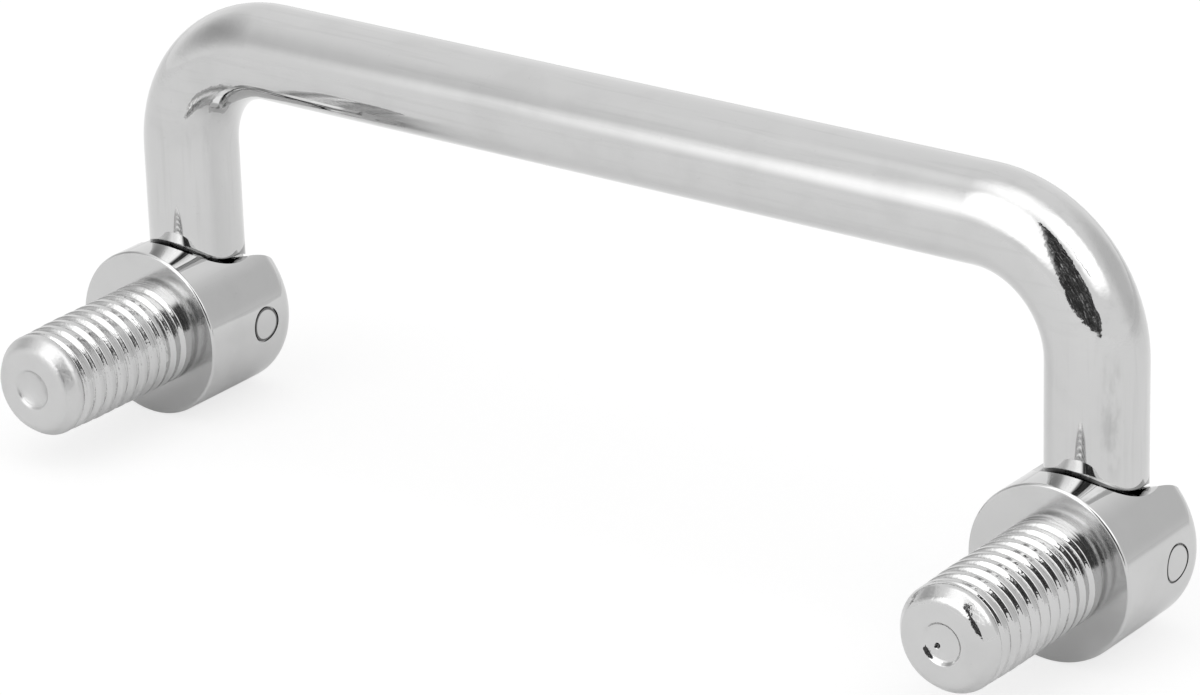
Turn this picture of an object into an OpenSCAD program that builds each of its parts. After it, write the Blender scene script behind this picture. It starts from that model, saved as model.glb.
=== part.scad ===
// Folding panel handle: a bent round bar whose legs are pinned in slotted hinge bolts.
// X runs along the bar, Z up the legs, and the studs point to -Y through the panel at y = 0.

/* [Bow] */
// Diameter of the round bar
rod_d = 9; // [7:0.1:12]
// Distance between the centrelines of the legs
leg_pitch = 100; // [70:1:200]
// Height of the bar's centreline over the pins
bow_rise = 27.8; // [24:0.1:80]
// Centreline radius of the bends
bend_r = 11; // [8:0.5:20]

/* [Hinge head] */
// Diameter of the turned head
head_d = 16.2; // [14:0.1:20]
// Distance from the shoulder face to the pin
pin_reach = 7.7; // [6.5:0.1:10]
// Length of the head past the pin
head_back = 5.1; // [5:0.1:8]
// Radial width of the head's rounded end
end_round = 3.1; // [0.5:0.1:4]
// Length of the head's rounded end
end_len = 2.6; // [0.5:0.1:4]
// Rounding of the rim of the shoulder face
rim_round = 0.3; // [0.1:0.05:0.8]
// Radius of the ears about the pin at their outer edges
ear_r = 6.35; // [5.5:0.05:7]
// Radius of the ears about the pin in the middle of the head, where the leg sits
ear_waist_r = 5.3; // [5:0.05:6.2]
// Distance from the middle of the head at which the ears reach their full radius
ear_flare = 5.9; // [5:0.1:8]
// Radius of the hollow between the ears' tops and the head's rim
seat_r = 7; // [5:0.1:9]
// Height of that hollow's floor over the pin
seat_floor = 5.95; // [5.5:0.05:7]

/* [Tongue and slot] */
// Thickness of the tongue on the end of a leg
tongue_t = 5; // [4:0.1:6.5]
// Width of the tongue
tongue_w = 7.2; // [6:0.1:7.8]
// Side play between the tongue and the slot
side_play = 0.15; // [0.05:0.05:0.3]
// Gap between the tongue's edge and the walls that stop it
stop_gap = 0.3; // [0.2:0.05:0.6]
// Gap between the foot of a leg and the head under or behind it
foot_gap = 0.25; // [0.2:0.05:0.6]

/* [Pin] */
// Diameter of the pin
pin_d = 3.2; // [2.5:0.1:4]
// Radial play of the tongue on the pin
pin_play = 0.05; // [0.02:0.01:0.1]
// Diameter of the groove round the pin's end
mouth_d = 3.5; // [3.2:0.1:5]
// Depth of that groove below the widest part of the head
mouth_depth = 0.4; // [0.2:0.05:0.8]

/* [Stud] */
// Outside diameter of the thread
stud_d = 10; // [8:1:12]
// Length of the stud from the shoulder face to its end
stud_len = 16.5; // [10:0.5:40]
// Distance from one thread groove to the next
thread_pitch = 1.5; // [1:0.25:3]
// Depth of the thread grooves
thread_depth = 0.55; // [0.2:0.05:0.9]
// Width of the ridges between the grooves
thread_crest = 0.4; // [0.2:0.05:0.8]
// Length of the plain neck under the shoulder face
neck_len = 0.9; // [0.5:0.1:3]
// Radial height of the rounded end
tip_round = 1.6; // [0.5:0.1:2.5]
// Length of the rounded end
tip_len = 2; // [0.5:0.1:4]
// Radius of the dimple in the stud's end
dimple_r = 2; // [1:0.1:3]
// Depth of the dimple in the stud's end
dimple_depth = 0.35; // [0.1:0.05:0.8]

/* [Hidden] */
chrome = [0.78, 0.79, 0.8];
pin_tone = [0.7, 0.71, 0.72];
rod_r = rod_d / 2;
head_r = head_d / 2;
stud_r = stud_d / 2;
tongue_r = tongue_w / 2;
half_pitch = leg_pitch / 2;
leg_top = bow_rise - bend_r;
slot_w = tongue_t + 2 * side_play;
slot_r = tongue_r + stop_gap;
seat_z = seat_floor + seat_r;
foot_r = seat_r - foot_gap;
heel_z = head_back + foot_gap;
thread_len = stud_len - tip_len - neck_len;
grooves = floor((thread_len + thread_crest) / thread_pitch);
round_fn = 96;
small_fn = 64;

// A round bar along X with its middle at the origin
module x_bar(r, length, fn = round_fn) {
    rotate([0, 90, 0])
        cylinder(r = r, h = length, center = true, $fn = fn);
}

// Points of a quarter ellipse from angle a0 to a1 about a centre
function arc_points(cx, cy, rx, ry, a0, a1, steps) = [
    for (i = [0 : steps])
        let (a = a0 + (a1 - a0) * i / steps)
            [cx + rx * cos(a), cy + ry * sin(a)]
];

// Ring grooves in place of the helical thread, from the stud's end to the shoulder
function groove_points() = [
    for (i = [grooves - 1 : -1 : 0])
        let (start = -neck_len - i * thread_pitch, width = thread_pitch - thread_crest)
            for (point = [[stud_r, start - width], [stud_r - thread_depth, start - width / 2], [stud_r, start]])
                point
];

// Half outline of the turned hinge bolt: radius first, then distance from the shoulder face
function bolt_outline() = concat(
    [[0, -stud_len + dimple_depth], [dimple_r * 0.45, -stud_len + dimple_depth]],
    [[dimple_r, -stud_len], [stud_r - tip_round, -stud_len]],
    arc_points(stud_r - tip_round, -stud_len + tip_len, tip_round, tip_len, -80, 0, 8),
    groove_points(),
    [[stud_r, 0]],
    arc_points(head_r - rim_round, rim_round, rim_round, rim_round, -90, 0, 4),
    arc_points(head_r - end_round, pin_reach + head_back - end_len, end_round, end_len, 0, 90, 12),
    [[0, pin_reach + head_back]]
);

// Half outline of the ears about the pin, hollowed towards the middle of the head
function ear_outline(gap) = concat(
    [[0, -head_d], [ear_r + gap, -head_d]],
    [
        for (i = [-6 : 6])
            let (share = i / 6)
                [ear_waist_r + (ear_r - ear_waist_r) * share * share + gap, ear_flare * share]
    ],
    [[ear_r + gap, head_d], [0, head_d]]
);

module ear_body(gap = 0) {
    rotate([0, 90, 0])
        rotate_extrude($fn = round_fn)
            polygon(ear_outline(gap));
}

// Room over the ears and for the foot of the leg, about the pin
module seat_cut() {
    translate([0, 0, seat_z])
        x_bar(seat_r, head_d + 2);
    difference() {
        translate([-head_d / 2 - 1, 0, 0])
            cube([head_d + 2, head_d, head_d]);
        ear_body();
    }
}

// Slot that is open upwards and to the back, and closed in front and below
module slot_cut() {
    x_bar(slot_r, slot_w);
    translate([-slot_w / 2, -slot_r, 0])
        cube([slot_w, slot_r + head_d, head_d]);
    translate([-slot_w / 2, 0, -slot_r])
        cube([slot_w, head_d, slot_r + head_d]);
}

module hinge_bolt() {
    difference() {
        rotate([-90, 0, 0])
            rotate_extrude($fn = round_fn)
                polygon(bolt_outline());
        translate([0, pin_reach, 0]) {
            seat_cut();
            slot_cut();
            x_bar(pin_d / 2, head_d + 2, small_fn);
            for (side = [-1, 1])
                translate([side * (head_r - mouth_depth + 1), 0, 0])
                    x_bar(mouth_d / 2, 2, small_fn);
        }
    }
}

// The leg's end about the pin: a foot that follows the hollow in front and the ears behind, with
// a flat heel that meets the head's end when the bow stands out, and the tongue under it
module leg_end() {
    difference() {
        union() {
            difference() {
                cylinder(r = rod_r, h = leg_top, $fn = round_fn);
                difference() {
                    translate([-rod_d, -rod_d, -1])
                        cube([2 * rod_d, 2 * rod_d, seat_z + 1]);
                    translate([0, 0, seat_z])
                        x_bar(foot_r, 2 * rod_d + 2);
                    translate([-rod_d - 1, 0, heel_z])
                        cube([2 * rod_d + 2, rod_d + 1, seat_z]);
                }
                ear_body(foot_gap);
            }
            x_bar(tongue_r, tongue_t);
            translate([-tongue_t / 2, -tongue_r, 0])
                cube([tongue_t, tongue_w, seat_z]);
        }
        x_bar(pin_d / 2 + pin_play, tongue_t + 2, small_fn);
    }
}

module corner() {
    translate([half_pitch - bend_r, 0, leg_top])
        rotate([90, 0, 0])
            rotate_extrude(angle = 90, $fn = round_fn)
                translate([bend_r, 0])
                    circle(r = rod_r, $fn = round_fn);
}

module bow() {
    color(chrome)
        translate([0, pin_reach, 0]) {
            translate([0, 0, bow_rise])
                x_bar(rod_r, leg_pitch - 2 * bend_r);
            for (turn = [0, 180])
                rotate([0, 0, turn])
                    corner();
            for (side = [-1, 1])
                translate([side * half_pitch, 0, 0])
                    leg_end();
        }
}

module left_hinge_bolt() {
    color(chrome)
        translate([-half_pitch, 0, 0])
            hinge_bolt();
}

module right_hinge_bolt() {
    color(chrome)
        translate([half_pitch, 0, 0])
            hinge_bolt();
}

// The pin's ends are ground to the curve of the head
module hinge_pin() {
    intersection() {
        translate([0, pin_reach, 0])
            x_bar(pin_d / 2, head_d, small_fn);
        rotate([-90, 0, 0])
            cylinder(r = head_r - 0.02, h = 2 * pin_reach, $fn = round_fn);
    }
}

module left_pin() {
    color(pin_tone)
        translate([-half_pitch, 0, 0])
            hinge_pin();
}

module right_pin() {
    color(pin_tone)
        translate([half_pitch, 0, 0])
            hinge_pin();
}

bow();
left_hinge_bolt();
right_hinge_bolt();
left_pin();
right_pin();
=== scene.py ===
"""Looks of the folding handle: mirror chrome, cut threads on the two studs, and a soft studio."""
import math

import bpy
import numpy as np
from mathutils import Matrix, Vector


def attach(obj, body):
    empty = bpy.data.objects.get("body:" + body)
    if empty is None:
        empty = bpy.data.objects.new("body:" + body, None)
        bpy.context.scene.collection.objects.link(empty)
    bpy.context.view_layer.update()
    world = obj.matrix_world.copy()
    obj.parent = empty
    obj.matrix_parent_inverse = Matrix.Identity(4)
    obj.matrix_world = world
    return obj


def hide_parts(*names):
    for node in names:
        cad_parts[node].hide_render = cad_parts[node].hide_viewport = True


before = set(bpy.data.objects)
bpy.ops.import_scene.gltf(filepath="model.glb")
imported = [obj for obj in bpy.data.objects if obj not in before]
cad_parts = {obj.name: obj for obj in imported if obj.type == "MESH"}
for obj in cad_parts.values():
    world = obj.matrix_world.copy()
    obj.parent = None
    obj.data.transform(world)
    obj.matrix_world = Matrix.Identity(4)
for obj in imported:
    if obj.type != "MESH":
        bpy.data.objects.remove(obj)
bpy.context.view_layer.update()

# The part's sizes are in millimetres, as in its source, and Blender's meshes are in metres
MM = 0.001
LEG_PITCH = 100.0
ROD_R, BEND_R, LEG_TOP = 4.5, 11.0, 16.8
PIN_REACH = 7.7
SEAT_Z, FOOT_R, HEEL_Z, FOOT_GAP = 12.95, 6.75, 5.35, 0.25
EAR_R, EAR_WAIST_R, EAR_FLARE = 6.35, 5.3, 5.9
# Half the tongue's thickness, and half its width
TONGUE_X, TONGUE_Y = 2.5, 3.6
PIN_R, GROOVE_R = 1.6, 1.75
STUD_R, STUD_LEN = 5.0, 16.5
FLOOR_Z = -8.1

# The thread. Its full depth lies between FROM and TO, and it fades out past them
THREAD_PITCH, THREAD_DEPTH = 1.5, 0.40
THREAD_FROM, THREAD_TO, THREAD_FADE = 0.9, 14.2, 0.9
# Shares of half a pitch that are crest and valley, and the share of a flank that each rounded end takes
CREST_SHARE, ROOT_SHARE, ROUND_SHARE = 0.25, 0.25, 0.38
# How far the crest falls towards the stud's end, and where that starts
THREAD_TAPER, TAPER_FROM = 0.12, 10.0
ROWS_PER_TURN = 24

# The stud's end. Each arc runs up to a tilt of the normal, in degrees, on its radius
TIP_LEN = 1.6
TIP_ARCS = ((36, 1.0), (39, 16.23), (52, 0.35), (70, 1.3), (90, 1.4))
END_RADII = np.concatenate([[3.0, 2.75], np.linspace(2.6, 1.4, 31), np.linspace(1.34, 0.04, 27)])
DIMPLE_R, DIMPLE_FLOOR_R = 2.4, 1.62
# Radii between which the slope of the dimple's wall comes in, and goes out again
WALL_IN, WALL_OUT = (1.50, 1.80), (1.84, 2.12)
# Small pit in the right stud's dimple: x and z from the axis, radius, depth
PIT = (-0.66, -0.48, 0.30, 0.20)

# Corners are one point when they round to the same step of this grid, per millimetre
GRID = 20000
# Faces that meet at less than this angle, by its cosine, share a soft corner (32 degrees)
SOFT_COS = 0.848
# The rod counts as round where its own normal agrees with the exact one, by the cosine
ROUND_COS = 0.985

CHROMIUM = (0.602, 0.602, 0.601)
DUST = (0.30, 0.30, 0.295, 1)
# The colour that the painted shade, the rod's streaks and its stain are mixed towards
SHADE = (0.03, 0.03, 0.03, 1)
WHITE = (1, 1, 1, 1)
# A level direction from a leg's left front to its right back, as parts along X and Y
ACROSS_X, ACROSS_Y = 0.80, 0.60
# Depth of the painted shade under the feet, in the seats and in the pit
FOOT_DARK, SEAT_DARK, PIT_DARK = 0.92, 0.92, 0.93
# The rod's polishing streaks: scale along it, strength, and the heights between which they turn from the legs'
# way to the bar's
STREAK_SCALE, STREAK_SHARE, STREAK_TURN = 0.05, 0.055, (17, 24)
STAIN_SHARE = 0.17
# Where the rod was bent its skin is rippled: from these places on, growing by this much for each millimetre
RIPPLE_X, RIPPLE_Z, RIPPLE_GROWS = 38.0, 13.0, (0.22, 0.2)
# Noises of the plate: scale per millimetre, detail and roughness, and for the haze its distortion
CLOUDS, SPECKS, HAZE, GRAIN = (0.16, 4.0, 0.55), (2.6, 2.0, 0.5), (0.09, 5.0, 0.62, 0.4), (3.4, 3.0, 0.6)
WAVES, POLISH, RIPPLE = (0.42, 2.0, 0.5), (5.0, 3.0, 0.6), (1.7, 1.5, 0.5)
STREAKS, MOTTLE = (1.5, 3.0, 0.6), (1.1, 3.0, 0.55)
# Heights in metres of the waves from buffing and of the polishing lines
WAVE_HEIGHT, POLISH_HEIGHT = 5.0e-6, 2.5e-7
# Scale and share of each layer of the uneven plating on the studs
PITTING_LAYERS = ((1.2, 1.0), (3.5, 0.45))

# The studio, in metres. Panels and lamps look at AIM; a silhouette's outline is ragged at this step, in degrees
AIM = Vector((0, 0.004, 0.012))
RAGGED_STEP = 1.4
CARD_SPOTS = (26.0, 3.0, 0.6)
FLOOR_R, FLOOR_CORNERS = 4.0, 64
# Near the part the floor's reflection carries a painted shadow, towards the first direction below, and a painted
# change of brightness with the part of a heading that lies along FORE
SHADOW_SIDE, FORE = (0.53, 0.85, 0.0), (0.045, -0.078, 0.0)
# The photograph's width and the camera's focal length in its pixels
PHOTO_WIDTH, PHOTO_FOCAL = 1200, 5462.6
SENSOR = 36.0


class Signal:
    """A number that varies over a surface. Signals and plain numbers combine by math nodes, as in a formula."""

    def __init__(self, graph, socket):
        self.graph, self.socket = graph, socket

    def __add__(self, other):
        return self.graph.math("ADD", self, other)

    def __sub__(self, other):
        return self.graph.math("SUBTRACT", self, other)

    def __rsub__(self, other):
        return self.graph.math("SUBTRACT", other, self)

    def __mul__(self, other):
        return self.graph.math("MULTIPLY", self, other)

    def __rtruediv__(self, other):
        return self.graph.math("DIVIDE", other, self)

    def __pow__(self, power):
        return self.graph.math("POWER", self, power)

    def __abs__(self):
        return self.graph.math("ABSOLUTE", self)

    def clamped(self):
        """The same signal, held between 0 and 1."""
        self.socket.node.use_clamp = True
        return self


class Graph:
    """The nodes of one material or world."""

    def __init__(self, owner):
        owner.use_nodes = True
        owner.node_tree.nodes.clear()
        self.nodes, self.links = owner.node_tree.nodes, owner.node_tree.links

    def put(self, socket, value):
        """Link a signal or a node's output to an input, or set the input to a plain value."""
        value = value.socket if isinstance(value, Signal) else value
        if isinstance(value, bpy.types.NodeSocket):
            self.links.new(value, socket)
        else:
            socket.default_value = value

    def node(self, kind, **values):
        """A new node. Each value goes to the input of that name, with _ for a space, or else to the setting."""
        new = self.nodes.new(kind)
        for key, value in values.items():
            name = key.replace("_", " ")
            if name in new.inputs:
                self.put(new.inputs[name], value)
            else:
                setattr(new, key, value)
        return new

    def math(self, operation, *values):
        new = self.node("ShaderNodeMath", operation=operation)
        for socket, value in zip(new.inputs, values):
            self.put(socket, value)
        return Signal(self, new.outputs["Value"])

    def most(self, first, *others):
        for other in others:
            first = self.math("MAXIMUM", first, other)
        return first

    def vector(self, operation, *values):
        """The node of a vector operation. Its output is Value for a length or dot product, or else Vector."""
        new = self.node("ShaderNodeVectorMath", operation=operation)
        for socket, value in zip(new.inputs, values):
            self.put(socket, value)
        return new

    def dot(self, a, b):
        return Signal(self, self.vector("DOT_PRODUCT", a, b).outputs["Value"])

    def join(self, x, y, z):
        return self.node("ShaderNodeCombineXYZ", X=x, Y=y, Z=z).outputs["Vector"]

    def split(self, vector):
        outputs = self.node("ShaderNodeSeparateXYZ", Vector=vector).outputs
        return [Signal(self, outputs[axis]) for axis in "XYZ"]

    def scaled(self, vector, scale):
        return self.node("ShaderNodeMapping", Vector=vector, Scale=scale).outputs["Vector"]

    def object_place(self):
        return self.node("ShaderNodeTexCoord").outputs["Object"]

    def noise(self, place, scale, detail, roughness, distortion=0.0):
        new = self.node("ShaderNodeTexNoise", Vector=place, Scale=scale, Detail=detail, Roughness=roughness,
                        Distortion=distortion)
        return Signal(self, new.outputs["Fac"])

    def ramp(self, source, stops):
        """A smooth ramp. stops: (place, grey level or colour)."""
        new = self.node("ShaderNodeValToRGB", Fac=source)
        new.color_ramp.interpolation = "EASE"
        while len(new.color_ramp.elements) < len(stops):
            new.color_ramp.elements.new(0.5)
        for element, (at, v) in zip(new.color_ramp.elements, stops):
            element.position = at
            element.color = (*v, 1) if isinstance(v, tuple) else (v, v, v, 1)
        return Signal(self, new.outputs["Color"])

    def span(self, value, a, b):
        """0 up to a and 1 from b on, or the other way round when b is the smaller."""
        new = self.node("ShaderNodeMapRange", clamp=True, interpolation_type="SMOOTHSTEP", Value=value,
                        From_Min=min(a, b), From_Max=max(a, b), To_Min=float(a > b), To_Max=float(a < b))
        return Signal(self, new.outputs["Result"])

    def mixed(self, kind, share, a, b):
        return self.node("ShaderNodeMix", data_type=kind, Factor=share, A=a, B=b).outputs["Result"]

    def bump(self, height, distance, normal=None):
        new = self.node("ShaderNodeBump", Strength=1.0, Distance=distance, Height=height)
        if normal is not None:
            self.put(new.inputs["Normal"], normal)
        return new.outputs["Normal"]

    def glow(self, strength):
        return self.node("ShaderNodeEmission", Color=WHITE, Strength=strength).outputs["Emission"]

    def mixed_shader(self, share, first, second):
        new = self.node("ShaderNodeMixShader", Fac=share)
        self.put(new.inputs[1], first)
        self.put(new.inputs[2], second)
        return new.outputs["Shader"]

    def surface(self, shader):
        self.node("ShaderNodeOutputMaterial", Surface=shader)


def new_material(name):
    mat = bpy.data.materials.new(name)
    return mat, Graph(mat)


def reach(g, first, a, second, b):
    """Distance of the point (first, second) from (a, b)."""
    return g.math("SQRT", abs(first - a) ** 2.0 + abs(second - b) ** 2.0)


def off_leg(x):
    """Distance in X from the middle plane of the nearer head."""
    return abs(abs(x) - LEG_PITCH / 2)


def away_from_stud(g, x, y):
    """0 on the left front of each leg and 1 on its right back, where the foot comes nearest to the head."""
    middle = g.math("SIGN", x) * (LEG_PITCH / 2)
    return g.span((x - middle) * ACROSS_X + (y - PIN_REACH) * ACROSS_Y, -1.5, 3.0)


def foot_shade(g, x, y, z):
    """Painted shade on the underside of each leg's foot, where no light comes."""
    off, away = off_leg(x), away_from_stud(g, x, y)
    from_seat = reach(g, y, PIN_REACH, z, SEAT_Z) + (1.0 - away) * 0.26
    hollow = g.span(from_seat, FOOT_R - 0.10, FOOT_R - 0.02) * g.span(z, SEAT_Z - 2, SEAT_Z - 3)
    flare = off ** 2.0 * ((EAR_R - EAR_WAIST_R) / EAR_FLARE ** 2)
    above_ear = reach(g, y, PIN_REACH, z, 0.0) - flare
    saddle = g.span(above_ear, EAR_WAIST_R + FOOT_GAP + 0.10, EAR_WAIST_R + FOOT_GAP + 0.02)
    heel = g.span(z, HEEL_Z + 0.08, HEEL_Z + 0.02) * g.span(y, PIN_REACH, PIN_REACH + 0.2)
    front, back = PIN_REACH - TONGUE_Y, PIN_REACH + TONGUE_Y
    off_tongue = g.span(off, TONGUE_X + 0.02, TONGUE_X + 0.06)
    off_tongue = g.most(off_tongue, g.span(y, front + 0.05, front - 0.05), g.span(y, back - 0.05, back + 0.05))
    off_tongue = off_tongue * g.span(off, ROD_R + 0.7, ROD_R + 0.2)
    return g.most(hollow, saddle, heel) * off_tongue * (FOOT_DARK - away * 0.35)


def rod_shade_and_stains(g, x, y, z):
    """Painted shade under the feet, faint polishing streaks along the rod, and a stain on the right leg."""
    low, high = STREAK_TURN
    on_bar = g.span(g.noise(g.join(x * STREAK_SCALE, y, z), *STREAKS), 0.50, 0.72) * g.span(z, low, high)
    on_legs = g.span(g.noise(g.join(x, y, z * STREAK_SCALE), *STREAKS), 0.50, 0.72) * g.span(z, high, low)
    from_leg_x, from_leg_y = x - LEG_PITCH / 2, y - PIN_REACH
    across = from_leg_x * ACROSS_X + from_leg_y * ACROSS_Y
    forward = from_leg_x * ACROSS_Y - from_leg_y * ACROSS_X
    stain = g.span(across, -0.3, 0.3) * g.span(across, 1.9, 1.2)
    stain = stain * (g.span(z, 5.5, 10.5) * g.span(z, 20, 16.5))
    stain = stain * g.span(from_leg_x, -5.0, -4.6) * g.span(forward, 0.5, 1.5)
    mottle = g.noise(g.join(x, y, z * 0.4), *MOTTLE)
    stain = stain * (g.span(mottle, 0.35, 0.70) * STAIN_SHARE)
    return g.most(foot_shade(g, x, y, z), (on_bar + on_legs) * STREAK_SHARE + stain)


def head_shade(g, x, y, z):
    """Painted shade in the seat under the leg, in the groove round each end of the pin, and in the pit in the
    right stud.
    """
    off, away = off_leg(x), away_from_stud(g, x, y)
    from_leg = reach(g, off, 0.0, y, PIN_REACH)
    seat = g.span(from_leg + away * 0.65, ROD_R + 0.6, ROD_R + 0.25) * g.span(from_leg, ROD_R - 1.3, ROD_R - 0.7)
    seat = seat * g.span(z, EAR_WAIST_R - 1.1, EAR_WAIST_R - 0.3) * (SEAT_DARK - away * 0.45)
    tighter = g.span(x, 1.0, -1.0) * 0.10
    groove = g.span(reach(g, y, PIN_REACH, z, 0.0) + tighter, GROOVE_R + 0.07, GROOVE_R)
    groove = groove * g.span(off, 6.0, 6.4) * (tighter * 4.0 + 0.52)
    pit_x, pit_z, pit_r = PIT[:3]
    pit = g.span(reach(g, x, LEG_PITCH / 2 + pit_x, z, pit_z), pit_r * 0.95, pit_r * 0.7)
    pit = pit * g.span(y, 1.0 - STUD_LEN, 0.6 - STUD_LEN) * PIT_DARK
    return g.most(seat, groove, pit)


def pin_shade(g, x, y, z):
    """Painted shade on the rounded rim of the pin's end."""
    tighter = g.span(x, 1.0, -1.0) * 0.12
    rim = g.span(reach(g, y, PIN_REACH, z, 0.0) + tighter, PIN_R - 0.10, PIN_R - 0.03)
    return rim * (tighter * 2.5 + 0.5)


def round_normal(g, x, y, z):
    """The bent rod's exact normal from its centreline, wherever the surface is round; the mesh's own elsewhere."""
    out = g.most(abs(x) - (LEG_PITCH / 2 - BEND_R), 0.0)
    up = g.most(z - LEG_TOP, 0.0)
    away = g.most(g.math("SQRT", out ** 2.0 + up ** 2.0), 0.001)
    turn = 1.0 - BEND_R / away
    exact = g.join(out * turn * g.math("SIGN", x), y - PIN_REACH, up * turn)
    exact = g.node("ShaderNodeVectorTransform", vector_type="NORMAL", convert_from="OBJECT", convert_to="WORLD",
                   Vector=exact).outputs["Vector"]
    own = g.node("ShaderNodeNewGeometry").outputs["Normal"]
    return g.mixed("VECTOR", g.math("GREATER_THAN", g.dot(exact, own), ROUND_COS), own, exact)


def plate_colour(g, place, tint, painted_shade_and_stains):
    """Faint clouds in the plate, slightly greyer spots where dust sits, and the painted shade, with the rod's
    streaks and stain.
    """
    dark = tuple(c * 0.955 for c in tint)
    light = tuple(min(c * 1.025, 1) for c in tint)
    clouds = g.ramp(g.noise(place, *CLOUDS), [(0.32, dark), (0.52, tint), (0.74, light)])
    spots = g.ramp(g.noise(place, *SPECKS), [(0.70, 0.0), (0.78, 1.0)])
    return g.mixed("RGBA", painted_shade_and_stains, g.mixed("RGBA", spots * 0.12, clouds, DUST), SHADE)


def plate_roughness(g, place, y, gloss, pitting, dull):
    """Handling haze in soft patches with a finer grain over it; softer on the shoulders and the studs."""
    haze = g.ramp(g.noise(place, *HAZE), [(0.36, gloss[0]), (0.68, gloss[1])])
    rough = haze + g.noise(place, *GRAIN) * 0.012
    if pitting:
        rough = rough + g.span(y, 0.10, 0.04) * g.span(y, -0.10, -0.04) * 0.12
    if dull:
        tip = TIP_LEN - STUD_LEN
        rough = rough + g.span(y, -0.2, -0.8) * dull + g.span(y, tip + 0.6, tip) * (dull * 2.4)
    return rough


def plate_normal(g, place, x, y, z, lines, peel, pitting):
    """Slow waves from buffing, polishing lines along X, orange peel where the rod was bent, and uneven studs."""
    start = round_normal(g, x, y, z) if peel else None
    normal = g.bump(g.noise(place, *WAVES), WAVE_HEIGHT, start)
    normal = g.bump(g.noise(g.scaled(place, (1.0 / lines, 1, 1)), *POLISH), POLISH_HEIGHT, normal)
    if peel:
        grow_x, grow_z = RIPPLE_GROWS
        bends = ((abs(x) - RIPPLE_X) * grow_x).clamped() * ((z - RIPPLE_Z) * grow_z).clamped()
        normal = g.bump(g.noise(place, *RIPPLE) * bends, peel, normal)
    if pitting:
        studs = ((y * -1.0 - 0.3) * 1.5).clamped()
        for scale, share in PITTING_LAYERS:
            normal = g.bump(g.noise(place, scale, 2.0, 0.5) * studs, pitting * share, normal)
    return normal


def chrome(name, tint, gloss, shade, lines=1.0, peel=0.0, pitting=0.0, dull=0.0):
    """Bright chrome plate. gloss: lowest and highest roughness; shade: the painted shade by position, with the
    rod's streaks and stain;
    lines: how much longer than wide the polishing lines are along X; peel: height in metres of the ripple
    on the bends, for the rod alone; pitting: height in metres of the uneven plating on the studs;
    dull: roughness added there."""
    mat, g = new_material(name)
    place = g.scaled(g.object_place(), (1 / MM, 1 / MM, 1 / MM))
    x, y, z = g.split(place)
    plate = g.node("ShaderNodeBsdfPrincipled", Metallic=1.0,
                   Base_Color=plate_colour(g, place, tint, shade(g, x, y, z)),
                   Roughness=plate_roughness(g, place, y, gloss, pitting, dull),
                   Normal=plate_normal(g, place, x, y, z, lines, peel, pitting))
    g.surface(plate.outputs["BSDF"])
    return mat


def smooth(a, b, x):
    t = np.clip((x - a) / (b - a), 0, 1)
    return t * t * (3 - 2 * t)


def thread_radius(theta, s, turn):
    """Radius of the stud at angle theta and distance s from the shoulder. Right-handed, rounded crests."""
    phase = s / THREAD_PITCH - (theta + turn) / (2 * math.pi)
    # 0 in the middle of the crest and 1 in the middle of the valley, with straight flanks between rounded ends
    u = np.clip((1 - 2 * np.abs(phase % 1.0 - 0.5) - CREST_SHARE) / (1 - CREST_SHARE - ROOT_SHARE), 0, 1)
    steep = 1 / (1 - ROUND_SHARE)
    low = steep * u * u / (2 * ROUND_SHARE)
    middle = steep * (u - ROUND_SHARE / 2)
    high = 1 - steep * (1 - u) ** 2 / (2 * ROUND_SHARE)
    wave = np.where(u < ROUND_SHARE, low, np.where(u > 1 - ROUND_SHARE, high, middle))
    full = smooth(THREAD_FROM - THREAD_FADE, THREAD_FROM, s) * (1 - smooth(THREAD_TO, STUD_LEN - TIP_LEN, s))
    crest = STUD_R - THREAD_TAPER * smooth(TAPER_FROM, STUD_LEN - TIP_LEN, s)
    return crest - THREAD_DEPTH * wave * full


def dimple_depth(x, z, dimple):
    """How deep the pressed dimple in the stud's end lies at x, z from the stud's axis.
    dimple: the wall's and the floor's tilt in degrees, and the pit or None."""
    wall, floor_tilt, pit = dimple
    steps = np.linspace(0, DIMPLE_R, 481)
    tilt = np.radians(np.where(steps < DIMPLE_FLOOR_R, floor_tilt * steps / DIMPLE_FLOOR_R, 0))
    tilt += np.radians(wall) * smooth(*WALL_IN, steps) * (1 - smooth(*WALL_OUT, steps))
    slope = np.tan(tilt)
    rise = np.concatenate([[0], np.cumsum((slope[1:] + slope[:-1]) / 2 * np.diff(steps))])
    depth = rise[-1] - np.interp(np.hypot(x, z), steps, rise)
    if pit:
        pit_x, pit_z, pit_r, pit_depth = pit
        q = np.clip(np.hypot(x - pit_x, z - pit_z) / pit_r, 0, 1)
        depth = depth + pit_depth * (1 - q * q) ** 1.5
    return depth


def unit(v):
    return v / np.linalg.norm(v, axis=-1, keepdims=True)


def grid_key(p):
    return tuple(int(round(c * GRID)) for c in p)


def settled_normals(src, co):
    """Corner normals of a mesh, each the mean of the faces round its point that lie within SOFT_COS, by area."""
    polys = [list(p.vertices) for p in src.polygons]
    flat, area = [], []
    for ids in polys:
        p = co[ids]
        v = sum(np.cross(p[i] - p[0], p[i + 1] - p[0]) for i in range(1, len(p) - 1)) / 2
        area.append(float(np.linalg.norm(v)))
        flat.append(v / max(area[-1], 1e-12))
    flat, area = np.array(flat), np.array(area)
    keys = [grid_key(p) for p in co]
    around = {}
    for f, ids in enumerate(polys):
        for i in ids:
            around.setdefault(keys[i], []).append(f)
    out = []
    for f, ids in enumerate(polys):
        for i in ids:
            near = np.array(sorted(set(around[keys[i]])))
            near = near[flat[near] @ flat[f] > SOFT_COS] if area[f] > 1e-9 else near
            v = (flat[near] * area[near][:, None]).sum(0)
            size = np.linalg.norm(v)
            out.append(v / size if size > 1e-9 else flat[f])
    return np.array(out)


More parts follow.
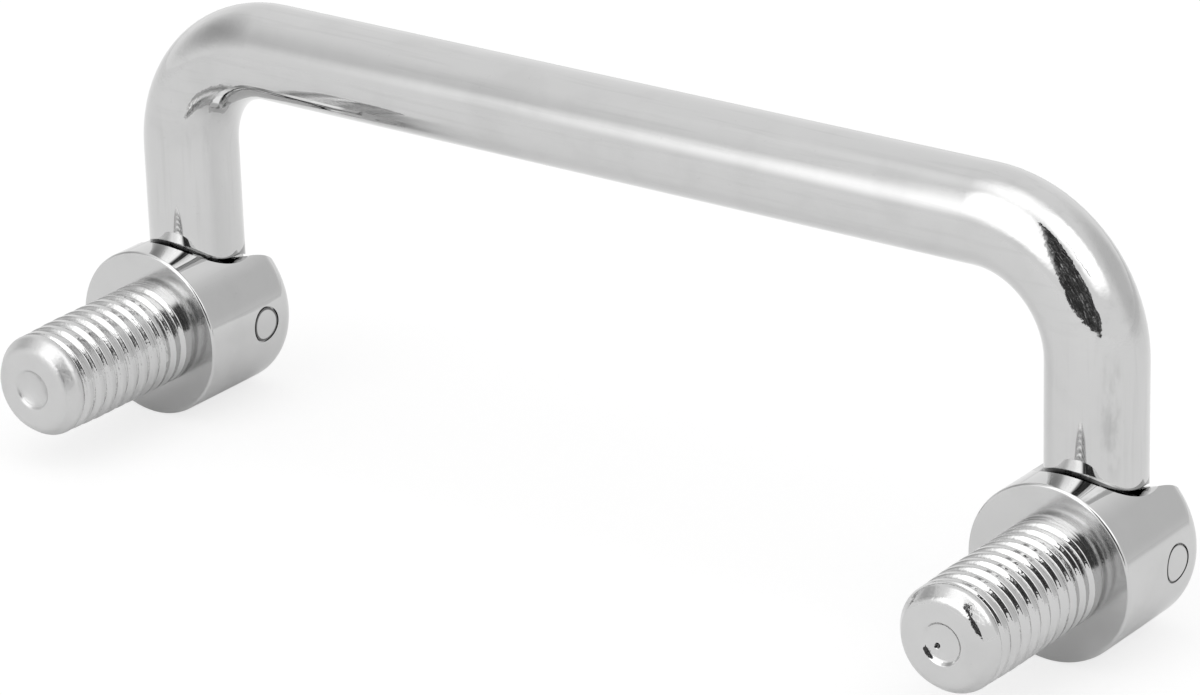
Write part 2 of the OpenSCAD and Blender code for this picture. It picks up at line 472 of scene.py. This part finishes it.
class Shell:
    """Points that merge where they meet, and the faces between them with their corner normals."""

    def __init__(self):
        self.points, self.index, self.faces, self.normals = [], {}, [], []

    def point(self, p):
        key = grid_key(p)
        if key not in self.index:
            self.index[key] = len(self.points)
            self.points.append(tuple(float(c) * MM for c in p))
        return self.index[key]

    def face(self, corners, normals):
        """Add a face, without the corners that merge with the one before, unless too few are left."""
        ids = [self.point(p) for p in corners]
        keep = [i for i in range(len(ids)) if ids[i] != ids[i - 1]]
        if len(set(ids[i] for i in keep)) < 3:
            return
        self.faces.append([ids[i] for i in keep])
        self.normals.extend(tuple(normals[i]) for i in keep)

    def mesh(self, name, material):
        mesh = bpy.data.meshes.new(name)
        mesh.from_pydata(self.points, [], self.faces)
        mesh.polygons.foreach_set("use_smooth", [True] * len(mesh.polygons))
        mesh.update()
        mesh.normals_split_custom_set([Vector(v).normalized() for v in self.normals])
        mesh.materials.append(material)
        return mesh


def add_head(shell, src, cx):
    """Copy the head's faces from the CAD bolt. Returns the points where the stud starts, in order of angle."""
    co = np.array([v.co for v in src.vertices], float).reshape(-1, 3) / MM
    normals = settled_normals(src, co)
    ring = set()
    for poly in src.polygons:
        corners = co[list(poly.vertices)]
        if corners[:, 1].mean() < -0.001:
            continue
        for p in corners:
            if abs(p[1]) < 1e-3 and abs(math.hypot(p[0] - cx, p[2]) - STUD_R) < 2e-3:
                ring.add(shell.point(p))
        shell.face(corners, normals[list(poly.loop_indices)])
    ring = np.array([shell.points[i] for i in ring]) / MM
    theta = np.arctan2(ring[:, 2], ring[:, 0] - cx) % (2 * math.pi)
    order = np.argsort(theta)
    return theta[order], ring[order]


def add_thread(shell, cx, theta, ring, turn):
    """The helical flanks from the shoulder to the rounded end, in rows that climb with the thread."""
    n, s_end = len(theta), STUD_LEN - TIP_LEN
    rows = ROWS_PER_TURN * (int(math.ceil(s_end / THREAD_PITCH)) + 1) + 1
    k = np.arange(rows + ROWS_PER_TURN)[:, None]
    s = np.clip((k / ROWS_PER_TURN + theta[None, :] / (2 * math.pi) - 1) * THREAD_PITCH, 0, s_end)
    th = np.broadcast_to(theta[None, :], s.shape)

    def surface(th, s):
        r = thread_radius(th, s, turn)
        return np.stack([cx + r * np.cos(th), -s, r * np.sin(th)], -1)

    P = surface(th, s)
    e = 1e-4
    N = unit(np.cross(surface(th, s + e) - surface(th, s - e), surface(th + e, s) - surface(th - e, s)))
    N *= np.sign((N[..., 0] * np.cos(th) + N[..., 2] * np.sin(th)))[..., None]
    at_foot = s <= 0
    P[at_foot] = np.broadcast_to(ring[None], P.shape)[at_foot]
    for i in range(rows):
        for j in range(n):
            a, b = (i, j), (i + 1, j)
            if j + 1 < n:
                c, d = (i + 1, j + 1), (i, j + 1)
            elif i + 1 + ROWS_PER_TURN < len(P):
                c, d = (i + 1 + ROWS_PER_TURN, 0), (i + ROWS_PER_TURN, 0)
            else:
                continue
            shell.face([P[a], P[d], P[c], P[b]], [N[a], N[d], N[c], N[b]])


def end_rings(cx, theta, dimple):
    """Rings of points and normals down the rounded end, the flat and the dimple, at the thread's angles."""
    n = len(theta)
    cos, sin = np.cos(theta), np.sin(theta)
    tilt, r, y = 0.0, STUD_R - THREAD_TAPER, TIP_LEN - STUD_LEN
    yield np.stack([cx + r * cos, np.full(n, y), r * sin], -1), np.stack([cos, np.zeros(n), sin], -1)
    for upto, arc in TIP_ARCS:
        swing = math.radians(upto) - tilt
        steps = max(2, int(math.ceil(swing * arc / 0.12)), int(swing / 0.08))
        for t in np.linspace(tilt, math.radians(upto), steps + 1)[1:]:
            r -= arc * (math.cos(tilt) - math.cos(t))
            y = max(y - arc * (math.sin(t) - math.sin(tilt)), -STUD_LEN)
            tilt = float(t)
            normal = np.stack([math.cos(t) * cos, np.full(n, -math.sin(t)), math.cos(t) * sin], -1)
            yield np.stack([cx + r * cos, np.full(n, y), r * sin], -1), normal
    g = 1e-3
    for r in END_RADII:
        x, z = r * cos, r * sin
        slope_x = (dimple_depth(x + g, z, dimple) - dimple_depth(x - g, z, dimple)) / (2 * g)
        slope_z = (dimple_depth(x, z + g, dimple) - dimple_depth(x, z - g, dimple)) / (2 * g)
        normal = unit(np.stack([slope_x, np.full(n, -1.0), slope_z], -1))
        yield np.stack([cx + x, -STUD_LEN + dimple_depth(x, z, dimple), z], -1), normal


def add_end(shell, cx, theta, dimple):
    """The stud's end: bands between its rings, and a fan of triangles in the middle."""
    n = len(theta)
    rings = list(end_rings(cx, theta, dimple))
    for (before, before_n), (now, now_n) in zip(rings, rings[1:]):
        for j in range(n):
            q = (j + 1) % n
            shell.face([before[j], before[q], now[q], now[j]], [before_n[j], before_n[q], now_n[q], now_n[j]])
    last, last_n = rings[-1]
    centre = np.array([cx, -STUD_LEN + float(dimple_depth(np.zeros(1), np.zeros(1), dimple)[0]), 0.0])
    for j in range(n):
        q = (j + 1) % n
        shell.face([last[j], last[q], centre], [last_n[j], last_n[q], (0, -1, 0)])


def stud_piece(name, side, turn, dimple, material):
    """The CAD hinge bolt with its plain stud exchanged for a threaded one on the same axis, length and radius."""
    cx = side * LEG_PITCH / 2
    shell = Shell()
    theta, ring = add_head(shell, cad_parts[name].data, cx)
    add_thread(shell, cx, theta, ring, turn)
    add_end(shell, cx, theta, dimple)
    piece = bpy.data.objects.new(name + "_threaded", shell.mesh(name + "_threaded", material))
    bpy.context.scene.collection.objects.link(piece)
    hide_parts(name)
    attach(piece, "hinge_bolts")


bolt_tint = tuple(c * 0.99 for c in CHROMIUM)
pin_tint = tuple(c * 0.97 for c in CHROMIUM)
bolt_gloss = (0.015, 0.050)
rod_chrome = chrome("rod_chrome", CHROMIUM, (0.018, 0.060), rod_shade_and_stains, lines=26.0, peel=9.0e-6)
left_chrome = chrome("left_bolt_chrome", bolt_tint, bolt_gloss, head_shade, pitting=3.4e-5, dull=0.09)
right_chrome = chrome("right_bolt_chrome", bolt_tint, bolt_gloss, head_shade, pitting=2.6e-5)
pin_chrome = chrome("pin_chrome", pin_tint, (0.030, 0.085), pin_shade)

for cad_name, mat in (("bow", rod_chrome), ("left_pin", pin_chrome), ("right_pin", pin_chrome)):
    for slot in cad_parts[cad_name].material_slots:
        slot.material = mat

stud_piece("left_hinge_bolt", -1, 0.7, (38.0, 24.0, None), left_chrome)
stud_piece("right_hinge_bolt", 1, 1.23, (46.0, 15.0, PIT), right_chrome)


def direction(az, el):
    """Unit vector at azimuth az from -Y towards +X and elevation el, in degrees."""
    a, e = math.radians(az), math.radians(el)
    return Vector((math.cos(e) * math.sin(a), -math.cos(e) * math.cos(a), math.sin(e)))


def stage_object(name, mesh, material):
    obj = bpy.data.objects.new(name, mesh)
    bpy.context.scene.collection.objects.link(obj)
    mesh.materials.append(material)
    return obj


def seen_in_gloss_only(obj):
    obj.visible_camera = False
    obj.visible_diffuse = False
    obj.visible_shadow = False
    obj.visible_transmission = False
    obj.visible_volume_scatter = False


def panel(name, az, el, wide, high, level, soft, far=1.0, power=4.0):
    """A studio panel seen only in the metal, at az, el, wide by high degrees, with soft edges."""
    w, h = far * math.tan(math.radians(wide / 2)), far * math.tan(math.radians(high / 2))
    mesh = bpy.data.meshes.new(name)
    mesh.from_pydata([(-w, -h, 0), (w, -h, 0), (w, h, 0), (-w, h, 0)], [], [(0, 1, 2, 3)])
    mat, g = new_material(name + "_light")
    u, v, _ = g.split(g.scaled(g.object_place(), (1 / w, 1 / h, 1)))
    from_middle = (abs(u) ** power + abs(v) ** power) ** (1 / power)
    fade = g.ramp(from_middle, [(max(0.0, 1 - soft), 1.0), (1.0, 0.0)])
    clear = g.node("ShaderNodeBsdfTransparent").outputs["BSDF"]
    g.surface(g.mixed_shader(fade, clear, g.glow(level)))
    obj = stage_object(name, mesh, mat)
    d = direction(az, el)
    obj.matrix_world = Matrix.Translation(AIM + d * far) @ d.to_track_quat("Z", "Y").to_matrix().to_4x4()
    seen_in_gloss_only(obj)


def silhouette(name, outline, level, far, rough=0.5):
    """A dark shape seen only in the metal. outline: points as az, el in degrees; rough: spread of its edge."""
    rng = np.random.default_rng(11)
    ragged = []
    for (a, e), (a2, e2) in zip(outline, outline[1:] + outline[:1]):
        steps = max(1, int(math.hypot((a2 - a) * math.cos(math.radians(e)), e2 - e) / RAGGED_STEP))
        for i in range(steps):
            az = a + (a2 - a) * i / steps + rng.normal(0, rough)
            el = e + (e2 - e) * i / steps + rng.normal(0, rough)
            ragged.append(tuple(AIM + direction(az, el) * far))
    mesh = bpy.data.meshes.new(name)
    mesh.from_pydata(ragged, [], [tuple(range(len(ragged)))])
    mat, g = new_material(name + "_dark")
    spots = g.noise(g.object_place(), *CARD_SPOTS)
    g.surface(g.glow(g.ramp(spots, [(0.42, level), (0.57, level * 3), (0.70, 0.55)])))
    seen_in_gloss_only(stage_object(name, mesh, mat))


def softbox(name, az, el, size, radiance, far=1.1):
    """An area lamp for the floor's soft shadow; the metal sees the panels instead."""
    data = bpy.data.lights.new(name, "AREA")
    data.shape = "SQUARE"
    data.size = size
    data.energy = radiance * math.pi * size * size
    obj = bpy.data.objects.new(name, data)
    bpy.context.scene.collection.objects.link(obj)
    d = direction(az, el)
    obj.location = AIM + d * far
    obj.rotation_euler = d.to_track_quat("Z", "Y").to_euler()
    obj.visible_glossy = False
    obj.visible_camera = False


def light_path(g):
    """Whether the camera sees the surface, and whether it is seen in metal or through glass."""
    path = g.node("ShaderNodeLightPath").outputs
    return [Signal(g, path[name]) for name in ("Is Camera Ray", "Is Glossy Ray", "Is Transmission Ray")]


def white_floor():
    """White to the camera, with the soft shadow kept. In the metal it glows, the more the further out, with a
    painted shadow near the part and a painted change of brightness by heading; plain and shaded to everything
    else.
    """
    angles = np.linspace(0, 2 * math.pi, FLOOR_CORNERS + 1)[:-1]
    mesh = bpy.data.meshes.new("floor")
    mesh.from_pydata([(FLOOR_R * math.cos(a), FLOOR_R * math.sin(a), FLOOR_Z * MM) for a in angles], [],
                     [tuple(range(FLOOR_CORNERS))])
    mat, g = new_material("floor_white")
    camera, glossy, through = light_path(g)
    metal = (glossy + through).clamped()
    place = g.object_place()
    far = Signal(g, g.vector("LENGTH", place).outputs["Value"])
    heading = g.vector("NORMALIZE", place).outputs["Vector"]
    cove = g.ramp(far, [(0.10, 0.10), (0.75, 1.0)])
    painted_shadow = g.span(g.dot(heading, SHADOW_SIDE), 0.72, 0.95) * g.span(far, 0.06, 0.40)
    painted_brightness = (g.dot(heading, FORE) - 0.08) * metal
    lit = g.glow(painted_shadow * metal * -0.17 + painted_brightness + 1.04)
    diffuse = g.node("ShaderNodeBsdfDiffuse", Color=(0.93, 0.93, 0.93, 1)).outputs["BSDF"]
    share = (camera * 0.72 + metal * g.most(cove, painted_shadow * 0.85)).clamped()
    g.surface(g.mixed_shader(share, diffuse, lit))
    stage_object("floor", mesh, mat)


def studio_world():
    """White to the camera and in the metal, a plain soft level for the rest."""
    world = bpy.data.worlds.new("studio")
    bpy.context.scene.world = world
    g = Graph(world)
    camera, glossy, through = light_path(g)
    seen = (camera + glossy + through).clamped()
    back = g.node("ShaderNodeBackground", Color=WHITE, Strength=seen * 0.27 + 0.73)
    g.node("ShaderNodeOutputWorld", Surface=back.outputs["Background"])


def photo_camera():
    """The camera that was fitted to the photograph's outlines."""
    right = Vector((0.80414, 0.59375, -0.02851))
    down = Vector((0.20438, -0.3212, -0.92469))
    ahead = Vector((-0.5582, 0.73776, -0.37965))
    data = bpy.data.cameras.new("camera")
    data.sensor_fit = "HORIZONTAL"
    data.sensor_width = SENSOR
    data.lens = PHOTO_FOCAL / PHOTO_WIDTH * SENSOR
    data.clip_start = 0.01
    data.clip_end = 50.0
    camera = bpy.data.objects.new("camera", data)
    bpy.context.scene.collection.objects.link(camera)
    pose = Matrix((right, -down, -ahead)).transposed().to_4x4()
    pose.translation = Vector((0.2728, -0.35605, 0.19356))
    camera.matrix_world = pose
    bpy.context.scene.camera = camera


white_floor()
studio_world()

softbox("lamp_left", -15, 45, 0.8, 1.0)
softbox("lamp_right", 80, 50, 0.8, 0.8)
softbox("lamp_top", 0, 88, 0.9, 0.9)

panel("box_left", -7, 40, 52, 66, 2.3, 0.5, far=0.55)
panel("glow_left", -24, 23, 44, 46, 1.75, 1.0, far=0.50, power=2.0)
panel("box_right", 82, 50, 46, 62, 2.0, 0.5, far=1.02)
panel("box_top", 10, 84, 72, 56, 1.8, 0.85, far=1.04, power=2.0)
panel("grey_left", -76, 27, 84, 56, 0.50, 0.95, far=1.06, power=2.0)
panel("grey_back", 142, 18, 80, 70, 0.72, 0.75, far=1.08, power=2.0)

camera_stand = [
    (7.5, -1), (9, 6), (10.5, 12), (12, 20), (14.5, 28), (17, 36), (21, 43), (24, 48),
    (27, 54), (29, 60), (34, 61), (40, 58), (45, 53), (48, 44), (49, 36), (50, 31),
    (54, 26), (53, 22), (54, 18), (55, 14), (58, 10), (57, 6), (50, -1),
]
cable = [
    (63.5, 54), (64.3, 49), (63.7, 43), (67, 37), (69.5, 32),
    (70.5, 32), (68.2, 37), (64.9, 43), (65.3, 49), (64.3, 54),
]
silhouette("camera_stand", camera_stand, 0.03, 0.90)
silhouette("cable", cable, 0.05, 0.88, rough=0.2)

photo_camera()
bpy.context.scene.view_settings.view_transform = "Standard"
